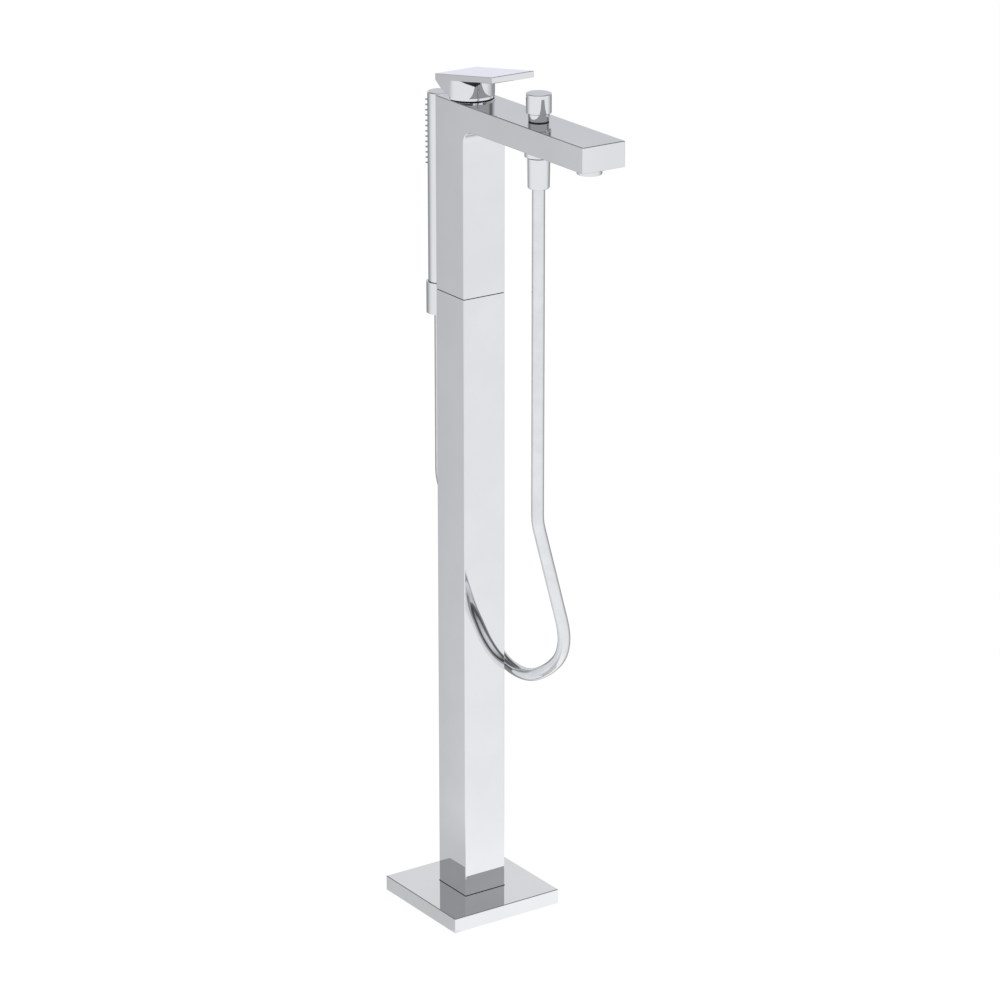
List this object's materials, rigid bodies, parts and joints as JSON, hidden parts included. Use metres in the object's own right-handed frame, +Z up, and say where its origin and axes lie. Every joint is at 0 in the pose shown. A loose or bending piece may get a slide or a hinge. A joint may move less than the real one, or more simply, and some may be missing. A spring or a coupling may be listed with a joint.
{
  "type": "floor standing bath filler",
  "caption": "Floor standing bath filler: square column on a square base, flat spout with tilting lever and pull-up diverter, stick hand shower in a rear cup holder on a metal hose.",
  "frame": {"origin": "on the floor at the centre of the square base, which is also the column's axis", "axes": "+Z up, the spout points to -Y, the hand shower stands behind the column on +Y, +X is to the right when looking along +Y"},
  "size_m": [0.1376, 0.3107, 0.9501],
  "materials": {
    "chrome": "polished chrome plate, mirror bright",
    "steel": "plain stainless steel",
    "brass": "raw brass, inside",
    "rubber": "black rubber",
    "ceramic": "polished technical ceramic",
    "plastic": "moulded dark grey plastic",
    "silicone": "soft grey silicone",
    "braid": "bright spiral metal sleeve"
  },
  "bodies": {
    "frame": {"floor_flange": "steel", "base_cover": "chrome", "cover_seal": "rubber", "column_tube": "chrome", "foot_screws": "steel", "seam_gasket": "rubber", "coupling_sleeve": "steel", "coupling_screws": "steel", "mixer_body": "chrome", "hot_supply_hose": "braid", "cold_supply_hose": "braid", "supply_nuts": "brass", "supply_nipples": "brass", "cartridge_housing": "plastic", "cartridge_base": "plastic", "cartridge_seals": "rubber", "fixed_disc": "ceramic", "cartridge_nut": "brass", "dome_washer": "rubber", "dome_cap": "chrome", "diverter_body": "chrome", "diverter_washer": "rubber", "diverter_spring": "steel", "hose_outlet": "chrome", "check_valve": "plastic", "aerator_housing": "chrome", "aerator_insert": "plastic", "aerator_washer": "rubber", "front_hose_nut": "chrome", "front_hose_washer": "rubber", "front_hose_ferrule": "brass", "shower_hose": "braid", "holder": "chrome", "holder_liner": "plastic", "holder_screws": "steel"},
    "temperature_part": {"spindle_guide": "plastic", "pivot_pin": "steel"},
    "lever_part": {"lever_stem": "steel", "lever": "chrome", "lever_screw": "steel"},
    "disc_part": {"moving_disc": "ceramic", "disc_driver": "plastic"},
    "diverter_part": {"diverter_stem": "steel", "diverter_valve": "rubber", "diverter_knob": "chrome"},
    "ferrule_part": {"rear_hose_ferrule": "brass"},
    "handset_part": {"handset_shell": "chrome", "handset_cap": "chrome", "handset_nipple": "brass", "handset_waterway": "plastic", "spray_plate": "plastic", "nozzle_mat": "silicone", "rear_hose_nut": "chrome", "rear_hose_washer": "rubber"}
  },
  "joints": [
    {"name": "temperature_turn", "type": "hinge", "parent": "frame", "child": "temperature_part", "pos_m": [0, 0, 0.9054], "axis": [0, 0, 1], "range_deg": [-45, 45]},
    {"name": "lever_tilt", "type": "hinge", "parent": "temperature_part", "child": "lever_part", "pos_m": [0, 0, 0.9054], "axis": [-1, 0, 0], "range_deg": [0, 18]},
    {"name": "disc_slide", "type": "slide", "parent": "temperature_part", "child": "disc_part", "axis": [0, -1, 0], "range_m": [0, 0.0029]},
    {"name": "diverter_lift", "type": "slide", "parent": "frame", "child": "diverter_part", "axis": [0, 0, 1], "range_m": [0, 0.006], "stiffness_N_per_m": 150, "springref_m": -0.004, "deforming": ["diverter_spring"]},
    {"name": "handset_lift", "type": "slide", "parent": "frame", "child": "ferrule_part", "axis": [0, 0, 1], "range_m": [0, 0.06]},
    {"name": "handset_turn", "type": "hinge", "parent": "ferrule_part", "child": "handset_part", "pos_m": [0, 0.057, 0.68], "axis": [0, 0, 1], "continuous": true}
  ],
  "couplings": [
    {"joint": "disc_slide", "follows": "lever_tilt", "m_per_rad": 0.009}
  ]
}
